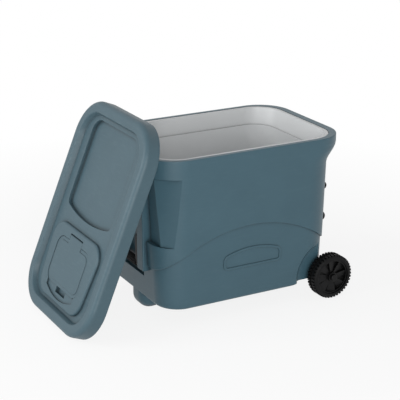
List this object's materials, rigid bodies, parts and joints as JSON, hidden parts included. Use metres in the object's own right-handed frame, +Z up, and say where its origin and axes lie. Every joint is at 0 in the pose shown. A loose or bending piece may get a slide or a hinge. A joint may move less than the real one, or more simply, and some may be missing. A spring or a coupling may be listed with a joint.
{
  "type": "wheeled cooler",
  "caption": "Insulated hard cooler with a rounded box body, a pale liner, wheels under one end, swing handles at both ends and a lift-off lid with a hinged hatch and a tray.",
  "frame": {"origin": "on the floor under the middle of everything at rest, the leaning lid included", "axes": "+X towards the wheel end, +Y to the back, +Z up"},
  "size_m": [0.7874, 0.4188, 0.5317],
  "materials": {
    "shell": "fine moulded grain",
    "lid": "pebbled moulded grain",
    "liner": "smooth",
    "foam": "closed cell foam",
    "drain": "smooth",
    "seal": "soft",
    "black_plastic": "satin",
    "grip": "soft",
    "tyre": "moulded hard plastic",
    "steel": "plain"
  },
  "bodies": {
    "body": {"outer_shell": "shell", "inner_liner": "liner", "foam_core": "foam", "drain_spout": "drain", "drain_washer": "seal", "axle": "steel", "wheel_washers": "steel", "axle_caps": "black_plastic", "tow_handle_pins": "steel", "carry_handle_pins": "black_plastic", "carry_handle_brackets": "shell", "bracket_screws": "steel"},
    "front_wheel": {"front_tyre": "tyre", "front_hub": "black_plastic"},
    "back_wheel": {"back_tyre": "tyre", "back_hub": "black_plastic"},
    "tow_handle": {"tow_handle_bail": "black_plastic", "tow_handle_grip": "grip"},
    "carry_handle": {"carry_handle_bail": "black_plastic", "carry_handle_grip": "grip"},
    "plug": {"drain_plug": "black_plastic"},
    "hatch_pin": {"hatch_hinge_pin": "steel"},
    "lid": {"lid_top": "lid", "lid_under_panel": "liner", "lid_foam": "foam", "lid_gasket": "seal", "hatch_gasket": "seal"},
    "hatch": {"hatch_door": "lid"}
  },
  "joints": [
    {"name": "front_wheel_spin", "type": "hinge", "parent": "body", "child": "front_wheel", "pos_m": [0.33373, 0, 0.06], "axis": [0, 1, 0], "continuous": true},
    {"name": "back_wheel_spin", "type": "hinge", "parent": "body", "child": "back_wheel", "pos_m": [0.33373, 0, 0.06], "axis": [0, 1, 0], "continuous": true},
    {"name": "tow_handle_swing", "type": "hinge", "parent": "body", "child": "tow_handle", "pos_m": [-0.16127, 0, 0.215], "axis": [0, 1, 0], "range_deg": [0, 100]},
    {"name": "carry_handle_swing", "type": "hinge", "parent": "body", "child": "carry_handle", "pos_m": [0.3623, 0, 0.281], "axis": [0, -1, 0], "range_deg": [0, 100]},
    {"name": "drain_plug_pull", "type": "slide", "parent": "body", "child": "plug", "axis": [1, 0, 0], "range_m": [0, 0.03]},
    {"name": "lid_carry", "type": "hinge", "parent": "body", "child": "hatch_pin", "pos_m": [-0.17018, 0, 0.3893], "axis": [0, 1, 0], "range_deg": [0, 210]},
    {"name": "lid_tilt", "type": "hinge", "parent": "hatch_pin", "child": "lid", "pos_m": [-0.30702, 0, 0.21248], "axis": [0, 1, 0], "range_deg": [-142.15, 0]},
    {"name": "hatch_swing", "type": "hinge", "parent": "lid", "child": "hatch", "pos_m": [-0.30702, 0, 0.21248], "axis": [0, 1, 0], "range_deg": [0, 110]}
  ],
  "couplings": [
    {"joint": "lid_tilt", "follows": "lid_carry", "ratio": -0.6769}
  ]
}
